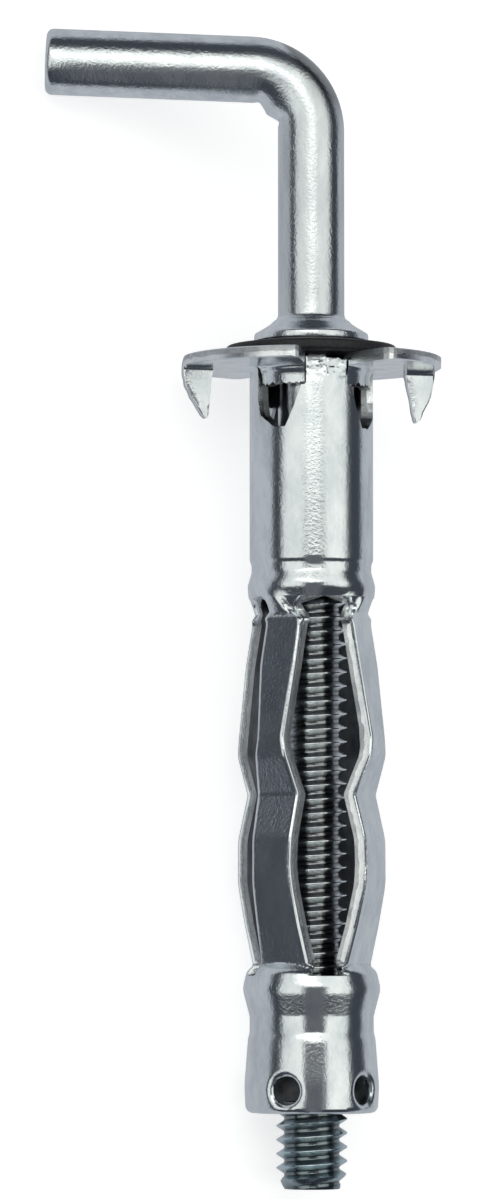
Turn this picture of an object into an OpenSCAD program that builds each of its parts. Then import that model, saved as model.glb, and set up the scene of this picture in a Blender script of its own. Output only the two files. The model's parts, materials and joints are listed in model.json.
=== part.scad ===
// Hollow wall anchor with a right-angle hook.
// A sheet-steel sleeve goes through a hole in a hollow wall. Turning the hook screw pulls the nut
// in the sleeve's end towards the flange, and the four pre-bent legs fold outwards behind the wall.
// Every piece is drawn along its own axis, with z = 0 at the underside of the sleeve's flange and
// the hook at +z, and the module lying() then lays the finished anchor down on a level surface.

/* [Hook] */
// Diameter of the plain rod
rod_d = 4.6; // [4:0.1:4.8]
// Distance from the screw's axis to the free end of the arm
hook_reach = 18.4; // [14:0.1:24]
// Height of the arm's centreline over the flange, above the axis of the rod
hook_height = 20.9; // [16:0.1:26]
// Radius of the bend, measured at the rod's centreline
hook_bend_r = 4.2; // [3:0.1:5.5]
// Rise of the arm towards its free end
arm_rise = 2.3; // [0:0.1:6]
// Swelling of the rod where it is bent, on its radius
bend_swell = 0.01; // [0.01:0.01:0.05]
// Rounding of the edge at the arm's free end
arm_edge_r = 0.4; // [0.1:0.05:0.8]

/* [Collar] */
// Diameter of the upset collar
collar_d = 7.9; // [7:0.1:9]
// Height of the collar's upright rim
collar_rim_h = 0.6; // [0.3:0.05:1]
// Height of the collar's cone over its rim
collar_cone_h = 0.75; // [0.4:0.05:1.2]
// Rounding of the edge between the collar's rim and its cone
collar_edge_r = 0.2; // [0.1:0.05:0.3]
// Diameter where the cone meets the rod's fillet
collar_cone_d = 5.4; // [5:0.1:6.5]
// Fillet between the collar's cone and the rod
collar_fillet_r = 0.4; // [0.2:0.05:0.8]

/* [Screw] */
// Outside diameter of the rolled thread
thread_d = 4.9; // [4.7:0.05:5.2]
// Length of the thread below the flange, down to the tip
screw_length = 56.5; // [52:0.5:64]
// Plain shank under the flange, above the first turn of thread
plain_shank = 8; // [5:0.5:12]
// Length of the taper at the screw's tip
tip_taper = 1.4; // [0.6:0.1:2]
// Diameter of the flat end of the tip
tip_d = 3.6; // [3:0.1:4.2]

/* [Washer] */
// Outside diameter of the retaining washer
washer_d = 11.8; // [10:0.1:14]
// Thickness of the washer at its hole
washer_t = 1.05; // [0.6:0.05:1.6]
// Thickness of the washer at its rim, less than at the hole
washer_rim_t = 0.75; // [0.6:0.05:1]
// Rounding of the washer's rim
washer_edge_r = 0.25; // [0.1:0.05:0.3]
// Gap all round between the shank and the washer's hole
washer_play = 0.05; // [0.02:0.01:0.1]

/* [Sheet] */
// Thickness of the steel sheet that the sleeve is folded from
sheet_t = 0.82; // [0.6:0.02:0.9]
// Width of the butt seam where the sheet's two edges meet
seam_gap = 0.12; // [0.05:0.01:0.3]
// Inside radius of the sheet's folds at the flange and the claws
fold_r = 0.3; // [0.2:0.05:0.5]

/* [Flange] */
// Diameter of the flange
flange_d = 18; // [15:0.1:22]
// Angle of the gap between the flange's two ears
ear_gap_angle = 41.5; // [30:0.5:50]
// Thinning of each side of the tube wall that stands up in the gaps
stub_pinch = 0.05; // [0.02:0.01:0.1]
// Half the angle of the tube wall that stands up in each gap
stub_half_angle = 19.8; // [12:0.1:21]
// Height of the stub's torn top over the flange's underside
stub_top = 0.43; // [0.2:0.01:0.8]
// Depth of the short skirt that hangs from each ear into the windows
skirt_depth = 1.3; // [0.8:0.1:1.8]
// Distance that the skirt lies inside the tube's surface
skirt_inset = 0.2; // [0.1:0.05:0.3]
// Width of the tear between the skirt and the tube's wall
skirt_tear = 0.3; // [0.15:0.05:0.5]

/* [Claws] */
// Width of a claw at its root
claw_w = 2.06; // [1.5:0.1:2.6]
// Length of a claw under the flange
claw_length = 3.5; // [2.5:0.1:4.5]
// Distance from a claw's inner root corner to its tip, along the flange's radius
claw_tip_in = 0.55; // [0.3:0.05:0.8]
// Width of a claw's blunt tip
claw_tip_w = 0.3; // [0.2:0.05:0.5]
// Width of the shear cut between a claw and the rest of its ear
claw_cut = 0.1; // [0.05:0.01:0.2]

/* [Tube] */
// Outside diameter of the tube
tube_d = 8.54; // [8:0.02:9.4]
// Depth of the windows under the flange
window_depth = 4.3; // [3:0.1:5]
// Angle from the gap's middle to a window's far edge
window_end = 74; // [66:0.5:76]
// Distance from the sleeve's end up to the groove's upper edge
groove_top = 38; // [37.5:0.1:39]
// Length of the groove
groove_length = 1.2; // [0.8:0.1:1.8]
// Depth of the groove
groove_depth = 0.13; // [0.08:0.01:0.25]
// Length of the slope from the tube's surface down into the groove
groove_slope = 0.35; // [0.25:0.05:0.5]
// Height of the bead over the tube's surface
bead_rise = 0.12; // [0.06:0.01:0.25]
// Distance from the sleeve's end up to the top of the bead
bead_at = 35.9; // [35.7:0.05:36.1]

/* [Legs] */
// Angle from the front slot's middle to the middle of a leg
leg_angle = 48.5; // [45:0.5:50]
// Distance from the sleeve's end up to the four slots' upper ends
slot_top = 35.6; // [35.5:0.1:35.8]
// Half the width of the front and back slots' rounded upper ends
slot_bulb = 2.1; // [1.9:0.05:2.2]
// Half the width of the side slots' rounded upper ends
side_slot_bulb = 1.9; // [1.8:0.05:2]
// Half the width of the front and back slots where they narrow at the upper fold
slot_waist = 1.72; // [1.6:0.02:1.8]
// Half the width of the side slots where they narrow at the upper fold
side_slot_waist = 1.75; // [1.65:0.02:1.8]
// Height of the slots' rounded upper ends
slot_bulb_h = 1; // [0.8:0.05:1.2]
// Distance from the sleeve's end up to the slots' lower ends
slot_end = 9.4; // [9.1:0.1:9.8]
// Half the angle of a slot at its lower end
slot_foot_angle = 14; // [12:0.5:16]
// Distance from the sleeve's end up to the upper fold
upper_fold_at = 33.9; // [33.5:0.1:34.3]
// Distance from the sleeve's end up to the upper bulge's widest place
upper_peak_at = 25.7; // [24.8:0.1:26.8]
// Length of the upper bulge's flat crown
upper_crown = 1.2; // [0.8:0.1:1.6]
// Distance from the sleeve's end up to the middle fold
middle_fold_at = 21.8; // [20.8:0.1:22.3]
// Distance from the sleeve's end up to the lower bulge's widest place
lower_peak_at = 17.1; // [16.3:0.1:17.8]
// Distance from the sleeve's end up to the lower fold
lower_fold_at = 10.3; // [10:0.1:10.7]
// Distance from the axis to the leg's face at the upper fold
upper_fold_r = 4.08; // [4:0.02:4.14]
// Distance from the axis to the leg's face at the upper bulge
upper_peak_r = 5.17; // [4.8:0.01:5.6]
// Distance from the axis to the leg's face at the middle fold
middle_fold_r = 4.14; // [3.9:0.02:4.3]
// Distance from the axis to the leg's face at the lower bulge
lower_peak_r = 4.95; // [4.7:0.01:5.3]
// Distance from the axis to the leg's face at the lower fold
lower_fold_r = 3.8; // [3.7:0.02:3.9]
// Distance from a leg's middle to its edge on the front or back slot, at the upper fold
front_edge_top = 1.95; // [1.85:0.05:2.1]
// The same, where the upper bulge starts to swell
front_edge_swell = 1.65; // [1.4:0.05:1.8]
// The same, at the upper bulge's widest place
front_edge_peak = 1.1; // [0.9:0.05:1.3]
// The same, at the middle fold
front_edge_middle = 1.7; // [1.5:0.05:1.9]
// The same, at the lower bulge's widest place
front_edge_low = 1.5; // [1.3:0.05:1.7]
// Distance from a leg's middle to its edge on a side slot, at the upper fold
side_edge_top = 1.05; // [0.95:0.05:1.15]
// The same, where the upper bulge starts to swell
side_edge_swell = 1.38; // [1.2:0.02:1.5]
// The same, at the upper bulge's widest place
side_edge_peak = 1.15; // [1:0.05:1.3]
// The same, at the middle fold
side_edge_middle = 1.82; // [1.6:0.02:2]
// The same, from the lower bulge's widest place to the sleeve's end
side_edge_low = 1.76; // [1.6:0.02:1.9]
// Distance from the upper bulge's widest place up to where it starts to swell
swell_length = 5; // [4:0.1:6]

/* [Sleeve end] */
// Height of the lower bead over the tube's surface
end_bead_rise = 0.41; // [0.2:0.01:0.6]
// Distance from the sleeve's end up to the top of the lower bead
end_bead_at = 8.5; // [8.3:0.05:8.6]
// Distance from the sleeve's end up to the neck band's upper edge
neck_at = 6.6; // [6.4:0.1:7.2]
// Length of the neck band
neck_length = 1.05; // [0.6:0.05:1.4]
// Step from the neck band out to the flare, on the radius
flare_step = 0.12; // [0.08:0.01:0.16]
// Diameter of the flared end
end_d = 9.24; // [8.8:0.02:9.8]
// Distance from the sleeve's end up to the flare's widest place
flare_at = 1.5; // [1.3:0.05:1.8]
// Length of the sleeve below the flange
sleeve_length = 51.3; // [46:0.1:62]
// Rounding of the turned-in end
end_round = 0.5; // [0.3:0.05:0.6]
// Diameter of the opening left in the turned-in end
end_opening_d = 6.4; // [5.6:0.1:7]
// Diameter of the crimped holes
crimp_d = 2.6; // [2.2:0.05:2.8]
// Distance from the sleeve's end up to the crimped holes' centres
crimp_at = 1.6; // [1.5:0.1:2]
// Angle from the front slot's middle to a crimped hole
crimp_angle = 39; // [34:0.5:45]
// Thickness of the lip pressed inwards round a crimped hole
crimp_lip_t = 0.35; // [0.2:0.05:0.5]
// Distance that the lip reaches inside the sheet
crimp_reach = 0.55; // [0.3:0.05:0.7]

/* [Nut] */
// Distance from the sleeve's end up to the nut's upper face
nut_top = 5.5; // [5.1:0.1:5.7]
// Gap between the nut and the sleeve
nut_gap = 0.05; // [0.02:0.01:0.1]
// Gap between the thread's outside and the nut's bore
thread_play = 0.05; // [0.02:0.01:0.09]
// Gap between a crimped lip and its pocket in the nut
pocket_play = 0.1; // [0.05:0.01:0.2]
// Chamfer at both mouths of the nut's bore
nut_chamfer = 0.4; // [0.2:0.05:0.6]

/* [Assembly] */
// Turn of the sleeve about the axis, from the side that the hook's arm points across
sleeve_turn = 14.3; // [-60:0.1:60]

/* [Hidden] */
$fn = 96;

// Radii that follow from the diameters above
rod_r = rod_d / 2;
collar_r = collar_d / 2;
thread_r = thread_d / 2;
washer_r = washer_d / 2;
flange_r = flange_d / 2;
tube_r = tube_d / 2;
end_r = end_d / 2;
bead_r = tube_r + bead_rise;
end_bead_r = tube_r + end_bead_rise;
groove_r = tube_r - groove_depth;
crimp_r = crimp_d / 2;

// The washer lies on the flange, and the collar lies on the washer
washer_bottom = sheet_t;
collar_bottom = washer_bottom + washer_t;

// Rest on a level surface: on the flange's rim, the sleeve's end and the arm's tip
end_contact_at = sleeve_length - end_round;
rest_tilt = atan((flange_r - end_r) / end_contact_at);
axis_height = flange_r * cos(rest_tilt);
bend_angle = 90 - arm_rise;
arm_tip_z = hook_height + hook_reach * tan(arm_rise);
arm_tip_height = axis_height + arm_tip_z * sin(rest_tilt);
tip_arc = sqrt(pow(hook_reach * cos(rest_tilt), 2) + pow(rod_r, 2));
rest_roll = asin(arm_tip_height / tip_arc) - atan(rod_r / (hook_reach * cos(rest_tilt)));

function unit(v) = v / norm(v);
function turned(v) = [-v.y, v.x];
function heading(v) = atan2(v.y, v.x);

// Points of the arc that rounds the corner at b, between a and c
function corner(a, b, c, r, steps) =
    let (
        u = unit(a - b),
        w = unit(c - b),
        half = acos(u * w) / 2,
        middle = b + unit(u + w) * r / sin(half),
        first = heading(b + u * r / tan(half) - middle),
        last = heading(b + w * r / tan(half) - middle),
        sweep = last - first - 360 * round((last - first) / 360)
    )
    [for (k = [0:steps]) middle + r * [cos(first + sweep * k / steps), sin(first + sweep * k / steps)]];

// A path through points [x, y, radius], with an arc of that radius at each inner point
function rounded(points, steps = 4) = [
    for (k = [0:len(points) - 1])
        let (p = points[k], here = [p.x, p.y])
        each (k == 0 || k == len(points) - 1 || p.z == 0)
            ? [here]
            : corner(
                [points[k - 1].x, points[k - 1].y], here, [points[k + 1].x, points[k + 1].y], p.z, steps
            )
];

// The same path moved sideways by a distance, to its left
function beside(path, distance) = [
    for (k = [0:len(path) - 1])
        let (before = path[max(k - 1, 0)], after = path[min(k + 1, len(path) - 1)])
        path[k] + distance * turned(unit(after - before))
];

function reversed(list) = [for (k = [len(list) - 1:-1:0]) list[k]];

// Outer face of a leg, whose two ends run in under the round wall. As in all the paths here, each point is
// [distance from the sleeve's end, distance from the axis, rounding].
leg_side = [
    [upper_fold_at + 0.8, upper_fold_r - 0.3, 0],
    [upper_fold_at, upper_fold_r, 0],
    [upper_peak_at, upper_peak_r, 3],
    [upper_peak_at - upper_crown, upper_peak_r - 0.02, 2],
    [middle_fold_at, middle_fold_r, 0.5],
    [lower_peak_at + 1.6, lower_peak_r - 0.05, 3.5],
    [lower_peak_at - 1.4, lower_peak_r - 0.02, 6],
    [lower_fold_at + 2.6, lower_fold_r + 0.6, 4],
    [lower_fold_at, lower_fold_r, 0],
    [lower_fold_at - 0.5, lower_fold_r - 0.2, 0]
];

// Edge of a leg on the side of the front or back slot, with its distance from the leg's middle
leg_edge_front = [
    [slot_top + 0.5, front_edge_top + 0.65, 0],
    [upper_fold_at + 0.4, front_edge_top, 0.5],
    [upper_peak_at + swell_length, front_edge_swell, 6],
    [upper_peak_at, front_edge_peak, 1.2],
    [middle_fold_at, front_edge_middle, 1.2],
    [lower_peak_at, front_edge_low, 6],
    [lower_fold_at + 2.5, front_edge_low + 0.45, 4],
    [slot_end - 0.5, front_edge_low + 0.95, 0]
];

// Edge of a leg on the side of a side slot
leg_edge_side = [
    [slot_top + 0.5, side_edge_top + 0.85, 0],
    [upper_fold_at + 0.4, side_edge_top, 0.5],
    [upper_peak_at + swell_length, side_edge_swell, 6],
    [upper_peak_at, side_edge_peak, 1.2],
    [middle_fold_at, side_edge_middle, 1.2],
    [lower_peak_at, side_edge_low, 0],
    [slot_end - 0.5, side_edge_low, 0]
];

// Lays a piece that is drawn along z on its side, at rest on the surface below it
module lying() {
    rotate([rest_tilt - 90, 0, 0]) rotate([0, 0, -rest_roll]) children();
}

// Pushes an outline [across, up] out from the axis, at an angle from the sleeve's front
module pushed_out(angle, from, to) {
    rotate([0, 0, angle]) rotate([90, 0, 0]) translate([0, 0, from]) linear_extrude(to - from) children();
}

// Pulls an outline [distance from the axis, up] sideways, centred on an angle from the sleeve's front
module pulled_across(angle, width) {
    rotate([0, 0, angle - 90]) rotate([90, 0, 0]) linear_extrude(width, center = true) children();
}

// Revolves an outline [distance from the axis, up] from one angle to another
module revolved(from, to) {
    rotate([0, 0, from - 90]) rotate_extrude(angle = to - from) children();
}

// Copies to the right and the left of the sleeve
module both_sides() {
    for (x = [0, 1]) mirror([x, 0, 0]) children();
}

// Copies to all four quarters of the sleeve, which is alike left and right and front and back
module quarters() {
    for (y = [0, 1]) mirror([0, y, 0]) both_sides() children();
}

// Turns a path's points into an outline of [distance from the axis, height over the flange's underside]
function upright(path) = [for (p = path) [p.y, p.x - sleeve_length]];

// The same list of corners with each one nearer the axis
function nearer(points, by) = [for (p = points) [p.x, p.y - by, p.z]];

// The hook screw: rod, bend, collar and threaded shank, forged and rolled from one wire
module hook_screw() {
    color("lightsteelblue") lying() union() {
        rotate_extrude() polygon(screw_section());
        translate([-hook_bend_r, 0, bend_z]) rotate([90, 0, 0])
            rotate_extrude(angle = bend_angle) translate([hook_bend_r, 0]) circle(r = rod_r + bend_swell);
        translate([-hook_bend_r, 0, bend_z]) rotate([0, -bend_angle, 0]) translate([hook_bend_r, 0, 0])
            rotate_extrude() polygon(arm_section());
    }
}

bend_z = hook_height - hook_bend_r;
// Length over which the straight stretches run on inside the swollen bend
bend_lap = sqrt(bend_swell * hook_bend_r);
arm_length = (hook_reach - hook_bend_r + hook_bend_r * cos(bend_angle)) / cos(arm_rise);

// Half section of the upright part of the screw, from its tip to the start of the bend
function screw_section() = concat(
    [
        [0, -screw_length],
        [tip_d / 2, -screw_length],
        [thread_r, -screw_length + tip_taper],
        [thread_r, -plain_shank],
        [rod_r, -plain_shank + thread_r - rod_r],
        [rod_r, collar_bottom],
        [collar_r, collar_bottom]
    ],
    rounded([
        [collar_r, collar_bottom, 0],
        [collar_r, collar_bottom + collar_rim_h, collar_edge_r],
        [collar_cone_d / 2, collar_bottom + collar_rim_h + collar_cone_h, 0.15],
        [rod_r + collar_fillet_r, collar_bottom + collar_rim_h + collar_cone_h + 0.1, 0]
    ], 4),
    [for (k = [1:6])
        [rod_r + collar_fillet_r, collar_bottom + collar_rim_h + collar_cone_h + 0.1 + collar_fillet_r]
            - collar_fillet_r * [sin(k * 15), cos(k * 15)]
    ],
    [[rod_r, bend_z + bend_lap], [0, bend_z + bend_lap]]
);

// Half section of the arm, from the end of the bend to its free end
function arm_section() = concat(
    [[0, -bend_lap], [rod_r, -bend_lap]],
    rounded([[rod_r, 0, 0], [rod_r, arm_length, arm_edge_r], [0, arm_length, 0]], 6)
);

// The retaining washer, a soft black ring that is thinner at its rim
module washer() {
    color("dimgray") lying() rotate_extrude() polygon(washer_section());
}

function washer_section() = concat(
    [[rod_r + washer_play, washer_bottom]],
    rounded([
        [rod_r + washer_play, washer_bottom, 0],
        [washer_r, washer_bottom, washer_edge_r],
        [washer_r, washer_bottom + washer_rim_t, washer_edge_r],
        [collar_r, washer_bottom + washer_t, 0]
    ], 4),
    [[rod_r + washer_play, washer_bottom + washer_t]]
);

// Outer side of the tube's wall from its plain stretch to the upper fold
tube_side = [
    [groove_top + 1, tube_r, 0],
    [groove_top, tube_r, 0.4],
    [groove_top - groove_slope, groove_r, 0.4],
    [groove_top - groove_length, groove_r, 0.4],
    [bead_at, bead_r + 0.03, 0.8],
    [upper_fold_at + 0.1, upper_fold_r - 0.13, 0]
];

// Outer side of the wall from the lower fold to the sleeve's end
end_side = [
    [lower_fold_at + 0.1, lower_fold_r - 0.1, 0],
    [lower_fold_at - 0.6, end_bead_r - 0.2, 0.8],
    [end_bead_at, end_bead_r + 0.08, 1.5],
    [neck_at, tube_r, 0.5],
    [neck_at - neck_length, tube_r, 0.3],
    [neck_at - neck_length - 0.5, tube_r + flare_step, 0.4],
    [flare_at, end_r, 2]
];

// The sleeve, folded and pressed from one sheet
module expansion_sleeve() {
    color("silver") lying() rotate([0, 0, sleeve_turn]) difference() {
        union() {
            difference() {
                flange_and_tube();
                for (angle = [0, 180]) flange_gap(angle);
                quarters() window();
                both_sides() claw_notch();
            }
            for (angle = [0, 180]) stub(angle);
            both_sides() claw();
            quarters() leg();
            wall_of_end();
            quarters() crimp_lip();
        }
        for (angle = [0, 180]) slot_ends(angle, slot_bulb, slot_waist);
        for (angle = [90, 270]) slot_ends(angle, side_slot_bulb, side_slot_waist);
        quarters() crimp_hole();
        seam();
    }
}

// Flange, fold and tube as one revolved sheet, down to the legs
module flange_and_tube() {
    rotate_extrude() polygon(concat(
        [[flange_r, 0], [flange_r, sheet_t]],
        fold_arc(fold_r + sheet_t, 90, 180),
        upright(rounded(nearer(tube_side, sheet_t))),
        upright(reversed(rounded(tube_side))),
        fold_arc(fold_r, 180, 90)
    ));
}

function fold_arc(r, from, to) = [
    for (k = [0:6])
        let (angle = from + (to - from) * k / 6)
        [tube_r + fold_r + r * cos(angle), -fold_r + r * sin(angle)]
];

// A gap between the flange's two ears, with a slit on either side that frees the tube's wall there
module flange_gap(angle) {
    revolved(angle - ear_gap_angle / 2, angle + ear_gap_angle / 2)
        translate([tube_r / 2, -fold_r - 0.1]) square([flange_r, fold_r + sheet_t + 1]);
    for (side = [-1, 1])
        rotate([0, 0, side * (ear_gap_angle / 2 + stub_half_angle) / 2])
            revolved(angle - slit_half_angle, angle + slit_half_angle)
                translate([tube_r / 2, -skirt_depth - 0.3]) square([flange_r, skirt_depth]);
}

slit_half_angle = (ear_gap_angle / 2 - stub_half_angle) / 2;

// The tube's wall that stands up in a gap, torn off below the washer and pinched a little thinner
module stub(angle) {
    revolved(angle - stub_half_angle, angle + stub_half_angle)
        translate([tube_r - sheet_t + stub_pinch, -skirt_depth])
            square([sheet_t - 2 * stub_pinch, skirt_depth + stub_top]);
}

claw_root = flange_r - claw_w;

// The part of the disc that the claw was cut from
module claw_notch() {
    translate([0, 0, -1]) linear_extrude(sheet_t + 2) polygon([
        [claw_root - claw_cut, 0],
        [claw_root - claw_cut, fold_r + sheet_t + claw_cut],
        [claw_root + 0.3, claw_length],
        [claw_root + 1, claw_length + 0.7],
        [flange_r + 1, claw_length + 1],
        [flange_r + 1, 0]
    ]);
}

// A claw: the strip at the edge of the notch, folded down square to the flange
module claw() {
    translate([claw_root, 0, -fold_r]) rotate([90, 0, 90]) linear_extrude(claw_w) intersection() {
        difference() {
            circle(r = fold_r + sheet_t);
            circle(r = fold_r);
        }
        square(fold_r + sheet_t + 1);
    }
    translate([0, fold_r + sheet_t, 0]) rotate([90, 0, 0]) linear_extrude(sheet_t) polygon(rounded([
        [claw_root, -fold_r, 0],
        [claw_root + claw_tip_in, -claw_length, 0.1],
        [claw_root + claw_tip_in + claw_tip_w, -claw_length, 0.1],
        [flange_r - 0.15, -claw_length * 0.4, 4],
        [flange_r, -fold_r, 0]
    ]));
}

// A window: the sheet that was sheared free so that the ear could fold out. The ear's skirt hangs into
// its top, a little inside the tube's surface, and is torn free at its far end.
module window() {
    pushed_out((stub_half_angle + window_end) / 2, tube_r / 2, tube_r + 1) polygon(rounded([
        [-window_w * 0.42, -skirt_depth, 0],
        [-window_w * 0.3, -window_depth * 0.65, 2],
        [-window_w * 0.13, -window_depth, 0.5],
        [window_w * 0.1, -window_depth, 1.2],
        [window_w * 0.43, -window_depth * 0.79, 0.9],
        [window_w / 2, -window_depth * 0.5, 1],
        [window_w / 2, -fold_r - 0.1, 0],
        [window_w / 2 - skirt_tear, -fold_r - 0.1, 0],
        [window_w / 2 - skirt_tear, -skirt_depth, 0]
    ], 3));
    revolved(ear_gap_angle / 2 - slit_half_angle, window_end - 1)
        translate([tube_r - skirt_inset, -skirt_depth - 0.05]) square([1, skirt_depth - fold_r]);
}

window_w = 2 * tube_r * sin((window_end - stub_half_angle) / 2);

// One leg: a flat strip with three folds, cut to width by the slots on either side
module leg() {
    outer = rounded(leg_side);
    intersection() {
        pulled_across(leg_angle, 6) polygon(upright(concat(outer, reversed(beside(outer, sheet_t)))));
        pushed_out(leg_angle, 1, 8) polygon(upright(concat(
            [for (p = rounded(leg_edge_front)) [p.x, -p.y]],
            reversed(rounded(leg_edge_side))
        )));
    }
}

// Both ends of a slot, where it runs into the round wall
module slot_ends(angle, bulb, waist) {
    pushed_out(angle, 1, 8) polygon(upright(rounded([
        [upper_fold_at, waist, 0],
        [slot_top - slot_bulb_h, bulb, 0.4],
        [slot_top, bulb, 0.6],
        [slot_top, -bulb, 0.6],
        [slot_top - slot_bulb_h, -bulb, 0.4],
        [upper_fold_at, -waist, 0]
    ])));
    revolved(angle - slot_foot_angle, angle + slot_foot_angle)
        translate([1, slot_end - sleeve_length]) square([7, lower_fold_at + 0.2 - slot_end]);
}

module wall_of_end() {
    rotate_extrude() polygon(upright(concat(
        rounded(concat(end_side, [[0, end_r, end_round], [0, end_opening_d / 2, 0]]), 5),
        reversed(rounded(concat(
            nearer(end_side, sheet_t),
            [[sheet_t, end_r - sheet_t, 0.1], [sheet_t, end_opening_d / 2, 0]]
        ), 5))
    )));
}

// Places a piece that points along z at a crimped hole, pointing out from the axis
module at_crimp() {
    rotate([0, 0, crimp_angle]) translate([0, 0, crimp_at - sleeve_length]) rotate([90, 0, 0]) children();
}

// Lip of a crimped hole, pressed into the nut's pocket
module crimp_lip() {
    at_crimp() translate([0, 0, crimp_inside]) cylinder(r = crimp_r, h = end_r - sheet_t / 2 - crimp_inside);
}

// Hole of a crimp, with a mouth that is rolled inwards from the sheet's surface
module crimp_hole() {
    mouth_r = sheet_t * 0.4;
    at_crimp() rotate_extrude() polygon(concat(
        [[0, crimp_inside - 0.5], [crimp_r - crimp_lip_t, crimp_inside - 0.5]],
        [for (k = [0:5])
            [crimp_r - crimp_lip_t + mouth_r, end_r - mouth_r] + mouth_r * [-cos(k * 18), sin(k * 18)]
        ],
        [[0, end_r + 0.5]]
    ));
}

crimp_inside = end_r - sheet_t - crimp_reach;

// Butt seam at the back, where the rolled sheet's edges meet
module seam() {
    for (part = [[slot_top - 0.5, sleeve_length + sheet_t + 1], [-1, slot_end + 0.5]])
        translate([-seam_gap / 2, 0, part.x - sleeve_length]) cube([seam_gap, flange_r + 1, part.y - part.x]);
}

// The threaded nut, a turned bush that fills the flared end and is locked by the four crimps
module threaded_nut() {
    color("darkgray") lying() rotate([0, 0, sleeve_turn]) difference() {
        rotate_extrude() polygon(nut_section());
        quarters() at_crimp()
            translate([0, 0, crimp_inside - pocket_play]) cylinder(r = crimp_r + pocket_play, h = end_r);
    }
}

nut_bottom = sheet_t + nut_gap;

function nut_section() = upright([
    [nut_bottom, thread_r + thread_play + nut_chamfer],
    [nut_bottom + nut_chamfer, thread_r + thread_play],
    [nut_top - nut_chamfer, thread_r + thread_play],
    [nut_top, thread_r + thread_play + nut_chamfer],
    [nut_top, tube_r - sheet_t - nut_gap - 0.1],
    [flare_at + 0.3, end_r - sheet_t - nut_gap - 0.15],
    [nut_bottom + 0.1, end_r - sheet_t - nut_gap - 0.15],
    [nut_bottom, end_r - sheet_t - nut_gap - 0.25]
]);

hook_screw();
washer();
expansion_sleeve();
threaded_nut();
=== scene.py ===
import json
import math
import bmesh
import bpy
import numpy as np
from mathutils import Matrix, Vector, noise


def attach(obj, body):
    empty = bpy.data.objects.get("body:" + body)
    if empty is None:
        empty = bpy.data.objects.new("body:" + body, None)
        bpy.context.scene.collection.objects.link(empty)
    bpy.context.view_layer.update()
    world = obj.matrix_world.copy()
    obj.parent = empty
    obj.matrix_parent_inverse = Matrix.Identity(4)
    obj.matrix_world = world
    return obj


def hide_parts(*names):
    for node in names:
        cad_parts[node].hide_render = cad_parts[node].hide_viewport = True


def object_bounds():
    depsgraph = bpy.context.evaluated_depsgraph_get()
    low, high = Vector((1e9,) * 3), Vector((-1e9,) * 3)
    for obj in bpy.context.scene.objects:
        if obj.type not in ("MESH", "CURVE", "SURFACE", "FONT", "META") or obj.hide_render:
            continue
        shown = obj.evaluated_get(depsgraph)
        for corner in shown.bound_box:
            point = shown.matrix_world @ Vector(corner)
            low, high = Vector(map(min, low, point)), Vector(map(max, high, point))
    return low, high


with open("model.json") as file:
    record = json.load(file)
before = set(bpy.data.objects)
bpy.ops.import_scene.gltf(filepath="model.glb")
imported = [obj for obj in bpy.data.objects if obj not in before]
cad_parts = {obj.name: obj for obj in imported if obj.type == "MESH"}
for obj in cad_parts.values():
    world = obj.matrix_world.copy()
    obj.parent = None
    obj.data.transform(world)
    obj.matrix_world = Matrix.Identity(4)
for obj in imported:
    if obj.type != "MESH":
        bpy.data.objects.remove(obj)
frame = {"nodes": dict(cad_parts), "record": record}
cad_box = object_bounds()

# ------------------------------------------------------------------ hook screw
# The hook screw is one length of drawn steel wire: a thread is rolled on its lower part, a collar is
# upset on it, the free end is cropped square, and the wire is bent over a pin to form the arm. Zinc
# plating gives it a bright, slightly grainy skin. Sizes are millimetres along the screw's own axis.
mm = 0.001
rod_r = 2.3
rod_sides = 72
thread_crest_r = 2.45
thread_root_r = 1.9
thread_pitch = 0.96
thread_start = -8.0
thread_runout = 1.3
thread_tip = -56.5
tip_flat_r = 1.92
tip_taper = 1.2
collar_seat = 1.87
arm_axis_z = 20.9
arm_rise = math.radians(2.3)
arm_reach = 18.4
bend_r = 4.2

# The anchor lies on its side. Its axis and the way that its arm points are written in the record's mounts.
mounts = {mount["name"]: mount for mount in frame["record"]["mounts"]}
along = -Vector(mounts["wall_hole"]["axis"]).normalized()
arm_way = Vector(mounts["hook_arm"]["axis"])
across = (along * arm_way.dot(along) - arm_way).normalized()
laid_down = Matrix((across, along.cross(across), along)).transposed().to_4x4() @ Matrix.Scale(mm, 4)


def smooth_step(x):
    x = min(1.0, max(0.0, x))
    return x * x * (3 - 2 * x)


def finished_piece(name, mesh, body, stands_for, materials, sharp_angle):
    """Lays a mesh drawn along the screw's axis down in its place, on the body that carries it."""
    mesh.transform(laid_down)
    for face in mesh.polygons:
        face.use_smooth = True
    mesh.set_sharp_from_angle(angle=math.radians(sharp_angle))
    for material in materials:
        mesh.materials.append(material)
    piece = bpy.data.objects.new(name, mesh)
    bpy.context.scene.collection.objects.link(piece)
    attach(piece, body)
    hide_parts(*stands_for)
    return piece


def new_material(name):
    material = bpy.data.materials.new(name)
    material.use_nodes = True
    return material, material.node_tree, material.node_tree.nodes["Principled BSDF"]


def new_node(tree, kind, operation=None, **values):
    """Adds a node, with values on its own sockets. From_Min stands for the socket From Min."""
    node = tree.nodes.new("ShaderNode" + kind)
    if operation:
        node.operation = operation
    for name, value in values.items():
        node.inputs[name.replace("_", " ")].default_value = value
    return node


def colour_ramp(tree, value, *stops):
    """A colour that runs through the stops (position, colour) as the value rises from 0 to 1."""
    ramp = new_node(tree, "ValToRGB")
    ends = ramp.color_ramp.elements
    for end, (position, colour) in zip(ends, (stops[0], stops[-1])):
        end.position = position
        end.color = (*colour, 1)
    for position, colour in stops[1:-1]:
        ends.new(position).color = (*colour, 1)
    tree.links.new(value, ramp.inputs["Fac"])
    return ramp.outputs["Color"]


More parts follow.
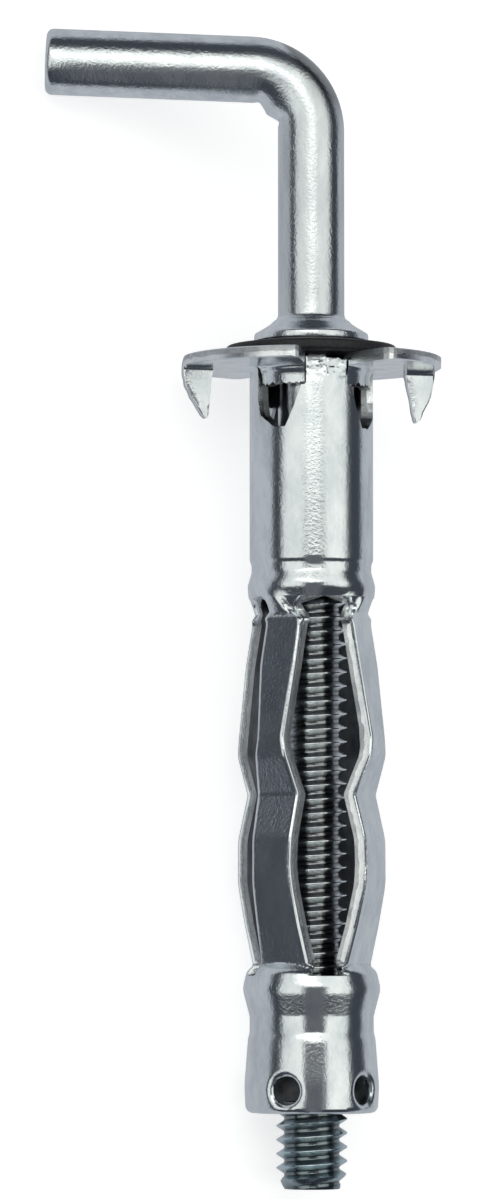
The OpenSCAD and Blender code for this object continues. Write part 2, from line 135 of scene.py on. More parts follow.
def blended(tree, factor, first, second):
    """A blend of two colours, each of them a plain colour or what another node gives."""
    mix = new_node(tree, "Mix")
    mix.data_type = "RGBA"
    tree.links.new(factor, mix.inputs["Factor"])
    sockets = {socket.identifier: socket for socket in (*mix.inputs, *mix.outputs)}
    for place, colour in (("A_Color", first), ("B_Color", second)):
        if isinstance(colour, tuple):
            sockets[place].default_value = (*colour, 1)
        else:
            tree.links.new(colour, sockets[place])
    return sockets["Result_Color"]


def raise_skin(tree, shader, height, depth):
    """Gives a surface relief, as deep as depth in millimetres."""
    relief = new_node(tree, "Bump", Strength=1.0, Distance=depth * mm)
    tree.links.new(height, relief.inputs["Height"])
    tree.links.new(relief.outputs["Normal"], shader.inputs["Normal"])


def stained(tree, place, skin, full_at, start_at, colour, strength=0.8):
    """A stain that grows along the part, from one place on the Y axis to another."""
    split = new_node(tree, "SeparateXYZ")
    tree.links.new(place, split.inputs["Vector"])
    spread = new_node(tree, "MapRange", From_Min=start_at * mm, From_Max=full_at * mm, To_Max=strength)
    tree.links.new(split.outputs["Y"], spread.inputs["Value"])
    return blended(tree, spread.outputs["Result"], skin, colour)


def shade_thread_roots(tree, place, skin, root_r, unshaded_r, darkest):
    """Painted shade in the thread: the skin is darker the nearer it is to the screw's axis, where the
    thread's roots lie in shade.
    """
    foot = new_node(tree, "VectorMath", "PROJECT")
    tree.links.new(place, foot.inputs[0])
    foot.inputs[1].default_value = along
    off_axis = new_node(tree, "VectorMath", "DISTANCE")
    tree.links.new(place, off_axis.inputs[0])
    tree.links.new(foot.outputs["Vector"], off_axis.inputs[1])
    shade_factor = new_node(tree, "MapRange", From_Min=root_r * mm, From_Max=unshaded_r * mm, To_Min=darkest)
    tree.links.new(off_axis.outputs["Value"], shade_factor.inputs["Value"])
    shaded_skin = new_node(tree, "VectorMath", "SCALE")
    tree.links.new(skin, shaded_skin.inputs[0])
    tree.links.new(shade_factor.outputs["Result"], shaded_skin.inputs["Scale"])
    return shaded_skin.outputs["Vector"]


def zinc_plate(name, colour, shade, roughness, grain, grain_depth, streaks, stain=None, root_shade=None):
    """Zinc plating: a grainy bright skin, mottled in colour and gloss, with faint streaks along the part."""
    patch_size, patch_height = 1.6, 0.5
    material, tree, shader = new_material(name)
    shader.inputs["Metallic"].default_value = 1.0
    place = new_node(tree, "TexCoord").outputs["Object"]
    fine = new_node(tree, "TexNoise", Scale=1 / (grain * mm), Detail=3.0, Roughness=0.6)
    tree.links.new(place, fine.inputs["Vector"])
    stretch = new_node(tree, "Mapping", Scale=(1.0, streaks, 1.0))
    tree.links.new(place, stretch.inputs["Vector"])
    patches = new_node(tree, "TexNoise", Scale=1 / (patch_size * mm), Detail=5.0, Roughness=0.65)
    tree.links.new(stretch.outputs["Vector"], patches.inputs["Vector"])
    patchy = patches.outputs["Fac"]
    skin = colour_ramp(tree, patchy, (0.35, shade), (0.62, colour))
    if stain:
        skin = stained(tree, place, skin, *stain)
    # Painted shade: the thread's roots are darkened towards the screw's axis
    if root_shade:
        skin = shade_thread_roots(tree, place, skin, *root_shade)
    tree.links.new(skin, shader.inputs["Base Color"])
    duller, glossier = roughness + 0.06, roughness - 0.04
    gloss = new_node(tree, "MapRange", From_Min=0.3, From_Max=0.7, To_Min=duller, To_Max=glossier)
    tree.links.new(patchy, gloss.inputs["Value"])
    tree.links.new(gloss.outputs["Result"], shader.inputs["Roughness"])
    height = new_node(tree, "Math", "MULTIPLY_ADD")
    tree.links.new(patchy, height.inputs[0])
    height.inputs[1].default_value = patch_height
    tree.links.new(fine.outputs["Fac"], height.inputs[2])
    raise_skin(tree, shader, height.outputs["Value"], grain_depth)
    return material


# The parts of a turn at which the thread has a row of points, from one root to the next, and their radii
thread_parts = [0, 0.1, 0.15, 0.42, 0.46, 0.5, 0.54, 0.58, 0.85, 0.9]
thread_radii = [thread_root_r + rise for rise in (0, 0.02, 0.08)]
thread_radii += [thread_crest_r - drop for drop in (0.06, 0.01, 0, 0.01, 0.06)]
thread_radii += [thread_root_r + rise for rise in (0.08, 0.02, 0)]
spare_turns = 1.5


def thread_radius(turn_part, z):
    """Radius of the thread at a part of its turn, with its run-out at the shank and its taper at the tip."""
    radius = float(np.interp(turn_part, [*thread_parts, 1], thread_radii))
    radius = rod_r + (radius - rod_r) * smooth_step((thread_start - z) / thread_runout)
    limit = tip_flat_r + (thread_crest_r - tip_flat_r) * (z - thread_tip) / tip_taper
    return min(radius, limit)


def roll_thread(bm):
    """The thread is made of rows that climb by its pitch in each turn, and are held level at its two ends."""
    turns = int((thread_start - thread_tip) / thread_pitch + 2 * spare_turns)
    columns = []
    for side in range(rod_sides + 1):
        angle = 2 * math.pi * side / rod_sides
        column = []
        for row in range(turns * len(thread_parts)):
            part = thread_parts[row % len(thread_parts)]
            climbed = row // len(thread_parts) + part + side / rod_sides - spare_turns
            z = min(thread_start, max(thread_tip, thread_tip + thread_pitch * climbed))
            turned_part = ((z - thread_tip) / thread_pitch - side / rod_sides + spare_turns) % 1.0
            r = thread_radius(turned_part, z)
            column.append(bm.verts.new((r * math.cos(angle), r * math.sin(angle), z)))
        columns.append(column)
    for column, after in zip(columns, columns[1:]):
        for row in range(len(column) - 1):
            corners = (column[row], after[row], after[row + 1], column[row + 1])
            # Rows that are held level lie on each other and have no face between them
            if len({tuple(round(c, 5) for c in v.co) for v in corners}) > 2:
                bm.faces.new(corners)


def ring(bm, centre, x_way, y_way, radius):
    """A ring of points round the wire. The radius may be a function of the angle."""
    points = []
    for side in range(rod_sides):
        angle = 2 * math.pi * side / rod_sides
        r = radius(angle) if callable(radius) else radius
        points.append(bm.verts.new(centre + r * (math.cos(angle) * x_way + math.sin(angle) * y_way)))
    return points


def join_rings(bm, low, high):
    for side in range(rod_sides):
        after = (side + 1) % rod_sides
        bm.faces.new((low[side], low[after], high[after], high[side]))


screw = bmesh.new()
roll_thread(screw)

# The plain shank, the upright rod, and between them the collar: its radii and heights over its seat,
# round the edge of the disc and up the cone and the fillet
x_axis, y_axis = Vector((1, 0, 0)), Vector((0, 1, 0))
collar = [
    (2.6, 0), (3.7, 0), (3.86, 0.02), (3.93, 0.07), (3.95, 0.15), (3.96, 0.3), (3.95, 0.45),
    (3.92, 0.53), (3.85, 0.6), (3.7, 0.68), (3.2, 0.98), (2.88, 1.2), (2.74, 1.31), (2.66, 1.42),
    (2.52, 1.5), (2.41, 1.6), (2.33, 1.75), (rod_r, 1.95),
]
lathe = [(rod_r, z) for z in (thread_start, -7, 0, collar_seat)]
lathe += [(r, collar_seat + height) for r, height in collar]
lathe += [(rod_r, z) for z in (5, 8, 11, 14, 15.5)]
rings = [ring(screw, Vector((0, 0, z)), x_axis, y_axis, r) for r, z in lathe]

# The bend squeezes the wire's inner side into a small swelling with a crease on each side of it:
# height, place and width of each, where places and widths are parts of the bend
bend_swells = ((0.34, 0.5, 0.2), (-0.16, 0.18, 0.08), (-0.12, 0.84, 0.08))
outer_flat = 0.08
side_bulge = 0.03
bend_steps = 36
rings_beyond = 4
bend_sweep = math.pi / 2 - arm_rise
bend_centre = Vector((-bend_r, 0, arm_axis_z - bend_r))


def squeezed(part):
    """Radius of the wire round its section, at a part of the bend."""
    swell = sum(height * math.exp(-((part - middle) / width) ** 2) for height, middle, width in bend_swells)
    bent = math.sin(math.pi * min(1, max(0, part)))

    def radius(angle):
        inner = max(0.0, -math.cos(angle))
        outer = max(0.0, math.cos(angle))
        flattened = outer_flat * bent * outer ** 3
        return rod_r + swell * inner ** 5 - flattened + side_bulge * bent * math.sin(angle) ** 2

    return radius


def bend_ways(turn):
    """The way out from the bend's centre and the way along the wire, after a turn."""
    return Vector((math.cos(turn), 0, math.sin(turn))), Vector((-math.sin(turn), 0, math.cos(turn)))


for k in range(-rings_beyond, bend_steps + rings_beyond + 1):
    part = k / bend_steps
    bent_part = min(1.0, max(0.0, part))
    outward, forward = bend_ways(bend_sweep * bent_part)
    centre = bend_centre + bend_r * outward + forward * bend_r * bend_sweep * (part - bent_part)
    rings.append(ring(screw, centre, outward, y_axis, squeezed(part)))

# The arm, with the rounded edge that cropping and tumbling leave on its free end: how far each ring lies
# back from the end, and how much smaller than the rod it is
outward, forward = bend_ways(bend_sweep)
arm_start = bend_centre + bend_r * outward
arm_length = (arm_reach + arm_start.x) / -forward.x
arm_rings = [(back, 0) for back in (11, 8, 5, 2, 0.45)]
arm_rings += [(0.32, 0.02), (0.2, 0.08), (0.1, 0.17), (0.03, 0.28), (0, 0.4)]
arm_rings += [(0.01 * drop, drop) for drop in (0.9, 1.6, 2.1)]
for back, drop in arm_rings:
    rings.append(ring(screw, arm_start + forward * (arm_length - back), outward, y_axis, rod_r - drop))
for low, high in zip(rings, rings[1:]):
    join_rings(screw, low, high)
screw.faces.new(rings[-1])

# The thread is joined along its seam and to the shank, and its flat tip is closed
weld_distance = 1e-4
bmesh.ops.remove_doubles(screw, verts=screw.verts, dist=weld_distance)
open_edges = [edge for edge in screw.edges if len(edge.link_faces) == 1]
bmesh.ops.holes_fill(screw, edges=open_edges, sides=0)
bmesh.ops.recalc_face_normals(screw, faces=screw.faces)
screw_mesh = bpy.data.meshes.new("hook_screw_wire")
screw.to_mesh(screw_mesh)
screw.free()
zinc_colour, zinc_shade, stain_colour = (0.86, 0.9, 0.9), (0.7, 0.74, 0.76), (0.5, 0.62, 0.66)
# The last argument darkens the thread's roots towards the axis: painted shade
wire_zinc = zinc_plate(
    "zinc on drawn wire", colour=zinc_colour, shade=zinc_shade, roughness=0.16,
    grain=0.2, grain_depth=0.022, streaks=0.25, stain=(-55, -45, stain_colour), root_shade=(1.95, 2.4, 0.4),
)
finished_piece("hook_screw_wire", screw_mesh, "hook", ["hook_screw"], [wire_zinc], 28)

# ------------------------------------------------------------------ retaining washer
# A soft black plastic washer grips the shank between the collar and the flange, so that the screw
# stays in the sleeve until it is used. It is moulded, with a thin rim and a fine matt grain.
def matt_plastic(name):
    material, tree, shader = new_material(name)
    shader.inputs["Specular IOR Level"].default_value = 0.45
    grains_per_metre = 4500
    moulded = new_node(tree, "TexNoise", Scale=grains_per_metre, Detail=4.0)
    tree.links.new(new_node(tree, "TexCoord").outputs["Object"], moulded.inputs["Vector"])
    grain = moulded.outputs["Fac"]
    black = colour_ramp(tree, grain, (0.3, (0.008, 0.0085, 0.009)), (0.75, (0.03, 0.031, 0.033)))
    tree.links.new(black, shader.inputs["Base Color"])
    sheen = new_node(tree, "MapRange", To_Min=0.42, To_Max=0.62)
    tree.links.new(grain, sheen.inputs["Value"])
    tree.links.new(sheen.outputs["Result"], shader.inputs["Roughness"])
    raise_skin(tree, shader, grain, 0.015)
    return material


def refinish(node, material):
    """Gives a CAD node its finish."""
    node.data.materials.clear()
    node.data.materials.append(material)


refinish(frame["nodes"]["washer"], matt_plastic("matt black plastic"))

# ------------------------------------------------------------------ threaded nut
# The nut is a turned steel bush inside the sleeve's flared end, locked by the four crimps. It is zinc plated
# too and duller than the sheet. Its colour is darkened nearly to black as painted shade, since it shows only
# through the holes and the open end.
# Painted shade: the nut's colour is nearly black to stand for the shade inside the sleeve
nut_zinc_in_painted_shade = zinc_plate(
    "dull zinc on the nut darkened as painted shade", colour=(0.08, 0.083, 0.088), shade=(0.03, 0.032, 0.035), roughness=0.5,
    grain=0.2, grain_depth=0.015, streaks=1.0,
)
refinish(frame["nodes"]["threaded_nut"], nut_zinc_in_painted_shade)

# ------------------------------------------------------------------ expansion sleeve
# The sleeve is one blank of 0.8 mm steel sheet, punched, rolled into a tube and zinc plated. Its top is
# folded out into two ears with a claw each, four pre-bent legs lie between its four slots, and its
# end is turned in and crimped round the nut. The sheet's two edges meet in a seam at the back.
sheet_t = 0.82
leg_t = 1.03 * sheet_t
sleeve_turn = 14.3
tube_r = 4.27
leg_middle = math.radians(48.5)
seam_half = 0.06
edge_roll = 0.28
fold_r = 0.3
fold_steps = 6
flange_r = 9.0
rim_bevel = 0.08
bevel_width = 0.14
ear_corner_r = 0.6
claw_root = 6.94
claw_cut = 0.1
claw_length = 3.5
# Angles from the front or back of the tube: an ear's edge, and the sides of the window under it
ear_start = 20.75
window_start = 19.8
window_end = 74.0
# Depths below the flange's under face, from the ears down to the sleeve's end
skirt_depth = 1.3
back_skirt_depth = 2.5
root_depth = 2.3
wall_top = 4.6
bulb_top = 15.9
face_top = 16.6
fold_top = 17.4
fold_end = fold_top + 0.6
tube_end = 18.2
end_top = 40.3
round_again = 40.7
foot_top = 41.0
face_end = 41.5
foot_end = 41.9
thinned_from = 50.0
corner_at = 50.8
# The sleeve's end: its radius, its rounded corner, its opening, and the end of the sheet along its own length
end_r = 4.57
end_round = 0.5
opening_r = 3.2
sheet_end = 52.505
bulb_r = 0.6
bulb_press = 0.42
press_run = 0.8
# Lengths over which the sheet goes from round to flat above a leg, and back to round below it
flatten_run = 1.2
round_run = 0.8
foot_half_angle = math.radians(14)
dent_depth = 0.3
crimp_angle = 39.0
crimp_at = 49.7
crimp_rim_r = 1.5
crimp_bore = 0.95


def eased(points, steps=5):
    """A line through points (depth, distance, rounding), its corners rounded, as a function of depth."""
    xs, ys = [], []
    for k, (x, y, r) in enumerate(points):
        here = Vector((x, y))
        if k in (0, len(points) - 1) or r == 0:
            xs.append(x)
            ys.append(y)
            continue
        back = (Vector(points[k - 1][:2]) - here).normalized()
        on = (Vector(points[k + 1][:2]) - here).normalized()
        cut = r * math.tan((math.pi - back.angle(on)) / 2)
        for n in range(steps + 1):
            q = n / steps
            p = (1 - q) ** 2 * (here + back * cut) + 2 * q * (1 - q) * here + q ** 2 * (here + on * cut)
            xs.append(p.x)
            ys.append(p.y)
    return lambda depth: float(np.interp(depth, xs, ys))


# The round walls' radius, the distance of a leg's flat face from the axis, and the place of its two edges
tube_wall = eased([
    (-2, tube_r, 0), (13.3, tube_r, 0.3), (13.62, 4.14, 0.25), (14.15, 4.14, 0.3),
    (15.1, 4.42, 1.2), (16.2, 4.31, 2.5), (17.3, 3.95, 0), (tube_end, 3.7, 0),
])
end_wall = eased([
    (end_top, 3.1, 0), (40.9, 3.7, 0), (41.6, 4.48, 0.8), (42.8, 4.76, 1.5), (44.7, tube_r, 0.5),
    (45.75, tube_r, 0.3), (46.25, 4.39, 0.4), (49.4, 4.63, 1.5), (corner_at, end_r, 0),
])
leg_face = eased([
    (face_top, 3.78, 0), (17.4, 4.08, 0), (25.6, 5.17, 3), (26.8, 5.15, 2), (29.5, 4.14, 0.5),
    (32.6, 4.9, 3.5), (35.6, 4.93, 6), (38.4, 4.4, 4), (41, 3.8, 0), (face_end, 3.6, 0),
])
front_edge = eased([
    (15.2, 2.6, 0), (17.0, 1.95, 0.5), (20.6, 1.65, 6), (25.6, 1.1, 1.2), (29.5, 1.7, 1.2),
    (34.2, 1.5, 6), (38.5, 1.95, 4), (42.4, 2.45, 0),
])
side_edge = eased([
    (15.2, 1.9, 0), (17.0, 1.05, 0.5), (20.6, 1.38, 6), (25.6, 1.15, 1.2), (29.5, 1.82, 1.2),
    (34.2, 1.76, 0), (42.4, 1.76, 0),
])


def rounded_off(distance, radius):
    """How far a rounded edge lies back, at a distance from the edge."""
    if distance >= radius:
        return 0.0
    return radius - math.sqrt(max(0.0, radius ** 2 - (radius - distance) ** 2))


def wall_at(s):
    """Radius and depth of the round wall at a distance s along the sheet, which turns in at its end."""
    if s <= corner_at:
        return (tube_wall(s) if s < tube_end else end_wall(s)), s
    turned = (s - corner_at) / end_round
    if turned < math.pi / 2:
        return end_r - end_round + end_round * math.cos(turned), corner_at + end_round * math.sin(turned)
    return end_r - end_round - (s - corner_at - end_round * math.pi / 2), corner_at + end_round


def out_from_axis(u, s):
    """Distance of the sheet's outer face from the axis, measured along the leg's own middle plane."""
    flat = leg_face(s) if face_top <= s <= face_end else 0.0
    if tube_end < s < end_top:
        return flat
    r = wall_at(s)[0]
    return max(flat, math.sqrt(max(r * r - u * u, 0.0)))


def edge_place(s, target, side):
    """Where the sheet is cut beside a slot's middle plane, a target distance from it, found by halving."""
    widest, halvings = 4.0, 36
    near, far = 0.0, (-widest if side == 0 else widest)
    for _ in range(halvings):
        u = (near + far) / 2
        v = out_from_axis(u, s)
        if side == 0:
            gap = v * math.sin(leg_middle) + u * math.cos(leg_middle)
        else:
            gap = v * math.cos(leg_middle) - u * math.sin(leg_middle)
        if gap > target:
            near = u
        else:
            far = u
    return near


def slot_half(s, side, back):
    """Half the width of a slot, whose upper end is a rounded bulb and whose lower end is cut square."""
    closed = seam_half if back and side == 0 else 0.0
    if s < bulb_top or s >= foot_end:
        return closed
    wide, waist = (2.13, 1.66) if side == 0 else (1.9, 1.75)
    waist_from, foot_corner, foot_narrowing = 0.7, 0.12, 0.25
    into = s - bulb_top
    if into < bulb_r:
        return wide - bulb_r + math.sqrt(bulb_r ** 2 - (bulb_r - into) ** 2)
    if s < fold_end:
        return wide - (wide - waist) * smooth_step(into - waist_from)
    square = min(1.0, math.sqrt((foot_end - s) / foot_corner))
    return wall_at(s)[0] * math.sin(foot_half_angle) * (1 - foot_narrowing + foot_narrowing * square)


# Columns of the sheet, from the front or back slot at 0 to the side slot at 1. They are closer together at
# the slots' rolled edges and the ends of the window. The crimped hole lies from hole_near to hole_far.
stub_edge, window_near, window_far = 0.1905, 0.2413, 0.8356
hole_near, hole_far = 0.177, 0.645
sheet_columns = [0, 0.013, 0.034, 0.065, 0.1, 0.142, hole_near, stub_edge, 0.204, 0.222, window_near, 0.255]
sheet_columns += [0.27, 0.285, 0.3, 0.3176, 0.336, 0.355, 0.377, 0.4, 0.426, 0.46, 0.5, 0.55, 0.6, hole_far]
sheet_columns += [0.6972, 0.7223, 0.755, 0.777, 0.795, 0.81, 0.822, 0.83, window_far, 0.848, 0.865, 0.89]
sheet_columns += [0.92, 0.95, 0.97, 0.988, 1]
stub_columns = [t for t in sheet_columns if t <= stub_edge]
ear_columns = [t for t in sheet_columns if stub_edge <= t <= window_far]
root_columns = [t for t in sheet_columns if t >= window_far]
sheet_points, outer_skin, inner_skin, sheet_faces = {}, [], [], []


def sheet_point(outer, inner):
    """One place on the sheet, as a point on its outer face and the one behind it on its inner face."""
    key = tuple(round(c, 4) + 0.0 for c in outer)
    if key not in sheet_points:
        sheet_points[key] = len(outer_skin)
        outer_skin.append(tuple(outer))
        inner_skin.append(tuple(inner))
    return sheet_points[key]


def lay_patch(rows, left_out=None):
    """Joins rows of points with faces. Faces for which left_out(row, column) is true make a hole."""
    for j in range(len(rows) - 1):
        for i in range(len(rows[j]) - 1):
            if left_out and left_out(j, i):
                continue
            corners = [rows[j][i], rows[j][i + 1], rows[j + 1][i + 1], rows[j + 1][i]]
            corners = [c for n, c in enumerate(corners) if c != corners[n - 1]]
            if len(set(corners)) > 2:
                sheet_faces.append(corners)


def angle_of(t):
    """Angle from the front or back of the tube to a column of the sheet."""
    low, high = math.sin(-leg_middle), math.sin(math.pi / 2 - leg_middle)
    return math.degrees(math.asin(low + (high - low) * t) + leg_middle)


def quarter_place(u, v, depth, mirror):
    """A place in a quarter of the sleeve, u across its leg's middle plane and v out along it."""
    return (
        mirror[0] * (v * math.sin(leg_middle) + u * math.cos(leg_middle)),
        mirror[1] * (u * math.sin(leg_middle) - v * math.cos(leg_middle)),
        -depth,
    )


def round_place(angle, r, depth, mirror):
    """A place in a quarter of the sleeve, at an angle from the front or back of the tube."""
    a = math.radians(angle)
    return (mirror[0] * r * math.sin(a), -mirror[1] * r * math.cos(a), -depth)


def ragged(a, b, size):
    """Unevenness of a torn edge, up to about its size to either side."""
    return size * noise.noise(Vector((a * 3.1, b * 2.7, 5.5)))


def leg_edges(s, back):
    """Where a quarter of the sheet ends beside its two slots, and whether each slot is open at that depth."""
    leg_run, foot_run = 0.5, 0.3
    edges = []
    for side in (0, 1):
        cut = slot_half(s, side, back)
        place = edge_place(s, cut, side) if s < fold_end or s > foot_top else 0.0
        if s > fold_top:
            leg_edge = -front_edge(s) if side == 0 else side_edge(s)
            blend = smooth_step((s - fold_top) / leg_run) * (1 - smooth_step((s - foot_top) / foot_run))
            place += (leg_edge - place) * blend
        edges.append((place, cut > seam_half))
    return edges


def dent_at(t, s, mirror):
    """Above the front and back slots the wall is drawn in towards the bulb, and wider on one side of it."""
    dent_top, dent_in, dent_foot, dent_out = 14.7, 2.0, 17.0, 1.6
    slant, slant_from = 24, 16.2
    reach = 27 if mirror[0] * mirror[1] < 0 else 8
    dent = dent_depth * smooth_step((s - dent_top) / dent_in) * (1 - smooth_step((s - dent_foot) / dent_out))
    return dent * (1 - smooth_step((angle_of(t) - reach + slant * (s - slant_from)) / slant))


def wall_point(t, s, mirror, pull=0.0):
    """A place on the tube, a leg or the sleeve's end, in column t and at a distance s along the sheet."""
    (first, first_open), (last, last_open) = leg_edges(s, mirror[1] < 0)
    u = first + (last - first) * t
    v = out_from_axis(u, s)
    r, depth = wall_at(s) if s < tube_end or s > end_top else (v, s)
    flat = smooth_step((s - face_top) / flatten_run) * (1 - smooth_step((s - round_again) / round_run))
    thin = (r - sheet_t) / r
    inner_u = u * (thin + (1 - thin) * flat)
    inner_v = (v * thin) * (1 - flat) + (v - leg_t) * flat
    inner_depth = depth
    if s > thinned_from:
        inner_depth = min(depth, corner_at + end_round - sheet_t)
        bore_radii = (wall_at(thinned_from)[0] - sheet_t, end_r - sheet_t, opening_r)
        inner_r = float(np.interp(s, (thinned_from, corner_at, sheet_end), bore_radii))
        inner_u, inner_v = u * inner_r / r, v * inner_r / r
    roll = 0.0
    for distance, is_open in ((u - first, first_open), (last - u, last_open)):
        if is_open:
            roll = max(roll, rounded_off(distance, edge_roll))
    # Round the bulb the sheet is pressed inwards, so that its cut face slopes into the slot
    at_open_edge = (t == 0 and first_open) or (t == 1 and last_open)
    if at_open_edge and bulb_top <= s < fold_top + 0.3:
        pressed = bulb_press * (1 - smooth_step((s - fold_top + 0.5) / press_run))
        slope = smooth_step((s - bulb_top) / press_run)
        inner_u += (-1 if t == 0 else 1) * pressed * slope
        inner_depth += pressed * (1 - slope)
    grow = (v - roll - pull - dent_at(t, s, mirror)) / v
    return sheet_point(
        quarter_place(u * grow, v * grow, depth, mirror), quarter_place(inner_u, inner_v, inner_depth, mirror)
    )


# The ears' radii, and the outline of the notch that each claw came from: out from the axis, and across
fold_turns = [math.pi - math.pi / 2 * k / fold_steps for k in range(fold_steps + 1)]
ear_radii = [4.75, 5.1, 5.6, 6.2, 6.7, claw_root - claw_cut, claw_root]
ear_radii += [7.3, 7.8, 8.3, 8.7, 8.86, 8.93, 8.97, flange_r]
notch = [(claw_root - claw_cut, 0), (claw_root - claw_cut, fold_r + sheet_t + claw_cut)]
notch += [(claw_root + 0.3, claw_length), (claw_root + 1, claw_length + 0.7), (8.05, 4.23)]
notch_end = 28.5
notch_steps = 8
notch_turns, notch_radii = [], []
for (x0, y0), (x1, y1) in zip(notch, notch[1:]):
    for k in range(notch_steps + 1):
        x, y = x0 + (x1 - x0) * k / notch_steps, y0 + (y1 - y0) * k / notch_steps
        notch_turns.append(math.degrees(math.atan2(y, x)))
        notch_radii.append(math.hypot(x, y))


def rim_drop(radius):
    """How far the flange's two faces draw together towards its rim."""
    return rim_bevel * smooth_step((radius - flange_r + bevel_width) / bevel_width)


def ear_point(angle, radius, mirror):
    """A place on a flat ear, which on the back half stays clear of the notch that the claw came from."""
    root = claw_root - claw_cut
    if mirror[1] < 0 and radius > root and 90 - angle < notch_end:
        rim = min(flange_r, float(np.interp(90 - angle, notch_turns, notch_radii, right=flange_r)))
        low = min(root, rim)
        radius = low + (rim - low) * (radius - claw_root + claw_cut) / (flange_r - claw_root + claw_cut)
    in_from_edge = math.radians(angle - ear_start) * flange_r
    radius = min(radius, flange_r - rounded_off(in_from_edge, ear_corner_r))
    drop = rim_drop(radius)
    depths = (-drop, drop - sheet_t)
    return sheet_point(*(round_place(angle, radius, depth, mirror) for depth in depths))


def fold_point(angle, turn, mirror):
    """A place on the fold between the tube and an ear."""
    centre = tube_r + fold_r
    return sheet_point(*(
        round_place(angle, centre + r * math.cos(turn), fold_r - r * math.sin(turn), mirror)
        for r in (fold_r, fold_r + sheet_t)
    ))


# Rows of the sheet, closer together at the groove, the bulb, the legs' folds and the slots' square feet
tube_rows = [wall_top, 5.2, 6.2, 7.5, 9, 10.5, 12, 12.8, *np.arange(13.0, 15.8, 0.125), 15.82, 15.86, 15.89]
tube_rows += [bulb_top + step for step in (0, 0.0005, 0.002, 0.006, 0.015, 0.03, 0.06, 0.1, 0.16, 0.23, 0.31)]
leg_rows = [*np.arange(16.3, 17.9, 0.1), *np.arange(18, 24.4, 0.5), *np.arange(24.5, 27.6, 0.18)]
leg_rows += [*np.arange(27.8, 29.2, 0.25), *np.arange(29.25, 29.8, 0.05), *np.arange(29.9, 40.6, 0.35)]
leg_rows += [*np.arange(40.65, 41.8, 0.08), 41.82, 41.85, 41.87, 41.885, 41.895, 41.899]
leg_rows += [foot_end, 41.9005, 41.91, 41.95]
end_rows = [*np.arange(42.05, 46.3, 0.15), 46.6, 47.1, 47.6, 47.95]
hole_rows = [48.15, 48.45, 48.8, 49.2, 49.6, 50.0, 50.4, 50.7, 50.95, 51.2]
turned_rows = [51.3, 51.4, 51.5, corner_at + end_round * math.pi / 2]
turned_rows += [51.7, 51.95, 52.2, 52.4, 52.47, sheet_end]
all_rows = [float(s) for s in (*tube_rows, *leg_rows, *end_rows, *hole_rows, *turned_rows)]
hole_top = len(all_rows) - len(turned_rows) - len(hole_rows)
hole_foot = hole_top + len(hole_rows) - 1
hole_left, hole_right = sheet_columns.index(hole_near), sheet_columns.index(hole_far)


def lay_wall(mirror):
    """The tube below the windows, a leg and the sleeve's end, with the crimped hole left out."""
    rows = [[wall_point(t, s, mirror) for t in sheet_columns] for s in all_rows]
    lay_patch(rows, lambda j, i: hole_top <= j < hole_foot and hole_left <= i < hole_right)
    return rows


# The lip of a crimped hole, ring by ring: radius and depth inwards on the sheet's outer and inner face
crimp_theta = math.radians(crimp_angle) - leg_middle
crimp_lip = [
    (crimp_rim_r, 0, crimp_rim_r, sheet_t), (1.42, 0.005, 1.45, 0.83), (1.3, 0.03, 1.4, 0.85),
    (1.18, 0.08, 1.36, 0.9), (1.07, 0.16, 1.32, 0.96), (0.99, 0.27, 1.3, 1.05),
    (crimp_bore, 0.42, 1.3, 1.15), (crimp_bore, 1.37, 1.3, 1.37),
]


def crimp_place(w, d, inward, mirror):
    """A place near a crimped hole: w round the sleeve and d along it from the hole's middle."""
    theta = crimp_theta + w / end_r
    r, depth = wall_at(crimp_at + d)
    u = r * math.sin(theta) - inward * math.sin(crimp_theta)
    v = r * math.cos(theta) - inward * math.cos(crimp_theta)
    return quarter_place(u, v, depth, mirror)


def lay_crimp(rows, mirror):
    """A crimped hole: the sheet's rim is drawn inwards into the nut's pocket as a thin lip."""
    loop = [(hole_top, i) for i in range(hole_left, hole_right)]
    loop += [(j, hole_right) for j in range(hole_top, hole_foot)]
    loop += [(hole_foot, i) for i in range(hole_right, hole_left, -1)]
    loop += [(j, hole_left) for j in range(hole_foot, hole_top, -1)]
    low, high = math.sin(-leg_middle), math.cos(leg_middle)
    hole_corners = []
    for j, i in loop:
        r = wall_at(all_rows[j])[0]
        u = r * (low + (high + math.sin(leg_middle)) * sheet_columns[i])
        hole_corners.append(((math.asin(u / r) - crimp_theta) * end_r, all_rows[j] - crimp_at))
    hole_rings = [[rows[j][i] for j, i in loop]]
    for share in (0.35, 0.7):
        hole_rings.append([])
        for w, d in hole_corners:
            far = math.hypot(w, d)
            w, d = w + (crimp_rim_r * w / far - w) * share, d + (crimp_rim_r * d / far - d) * share
            faces = (crimp_place(w, d, inward, mirror) for inward in (0, sheet_t))
            hole_rings[-1].append(sheet_point(*faces))
    for outer_r, outer_in, inner_r, inner_in in crimp_lip:
        hole_rings.append([])
        for w, d in hole_corners:
            far = math.hypot(w, d)
            hole_rings[-1].append(sheet_point(
                crimp_place(outer_r * w / far, outer_r * d / far, outer_in, mirror),
                crimp_place(inner_r * w / far, inner_r * d / far, inner_in, mirror),
            ))
    lay_patch([points + points[:1] for points in hole_rings])


# The lower edge of a window: the share of its width from its middle, and the depth of its edge there
window_w = 2 * tube_r * math.sin(math.radians(window_end - window_start) / 2)
window_middle = math.radians(window_start + window_end) / 2
window_low = eased([
    (-0.5, 1.4, 0), (-0.42, 1.45, 0), (-0.3, 2.8, 0.05), (-0.13, 4.3, 0.04),
    (0.1, 4.3, 0.15), (0.43, 3.4, 0.05), (0.5, root_depth, 0),
])


